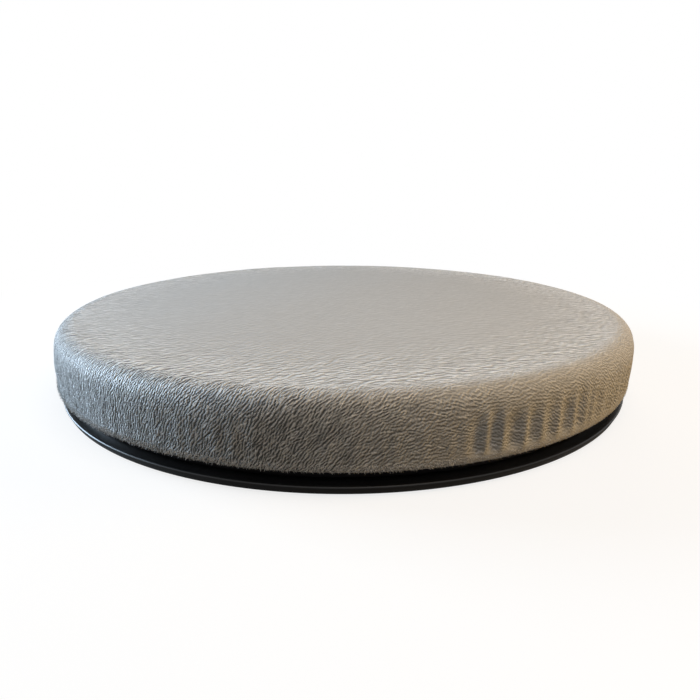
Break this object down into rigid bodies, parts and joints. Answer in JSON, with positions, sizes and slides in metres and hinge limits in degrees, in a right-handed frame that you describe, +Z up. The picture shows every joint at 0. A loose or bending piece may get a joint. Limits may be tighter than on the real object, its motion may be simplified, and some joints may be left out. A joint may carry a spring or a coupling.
{
  "type": "swivel seat cushion",
  "caption": "Round plush-covered foam seat cushion on a flat black turntable that swivels freely on a caged ball race.",
  "frame": {"origin": "centre of the underside, on the swivel axis, level with the soles of the grip pads", "axes": "+Z up along the swivel axis, towards the sitter"},
  "size_m": [0.394, 0.394, 0.0506],
  "materials": {
    "plush": "short-nap grey plush",
    "foam": "open-cell foam",
    "elastic": "braided elastic cord",
    "black_plastic": "moulded black, satin",
    "nylon": "natural nylon",
    "steel": "zinc plated or polished",
    "rubber": "matte black"
  },
  "bodies": {
    "base": {"base_plate": "black_plastic", "grip_pad_1": "rubber", "grip_pad_2": "rubber", "grip_pad_3": "rubber", "grip_pad_4": "rubber", "grip_pad_5": "rubber", "grip_pad_6": "rubber", "grip_pad_7": "rubber", "grip_pad_8": "rubber", "pivot_bolt": "steel", "pivot_bush": "nylon", "thrust_washer": "nylon", "retaining_washer": "steel", "lock_nut": "steel"},
    "race": {"ball_cage": "nylon", "ball_01": "steel", "ball_02": "steel", "ball_03": "steel", "ball_04": "steel", "ball_05": "steel", "ball_06": "steel", "ball_07": "steel", "ball_08": "steel", "ball_09": "steel", "ball_10": "steel", "ball_11": "steel", "ball_12": "steel", "ball_13": "steel", "ball_14": "steel", "ball_15": "steel", "ball_16": "steel", "ball_17": "steel", "ball_18": "steel", "ball_19": "steel", "ball_20": "steel", "ball_21": "steel", "ball_22": "steel", "ball_23": "steel", "ball_24": "steel"},
    "seat": {"turntable_plate": "black_plastic", "foam_pad": "foam", "hem_elastic": "elastic", "plush_cover": "plush"}
  },
  "joints": [
    {"name": "seat_swivel", "type": "hinge", "parent": "base", "child": "seat", "pos_m": [0, 0, 0.0095], "axis": [0, 0, 1], "continuous": true},
    {"name": "race_roll", "type": "hinge", "parent": "base", "child": "race", "pos_m": [0, 0, 0.0095], "axis": [0, 0, 1], "continuous": true}
  ],
  "couplings": [
    {"joint": "race_roll", "follows": "seat_swivel", "ratio": 0.5}
  ]
}
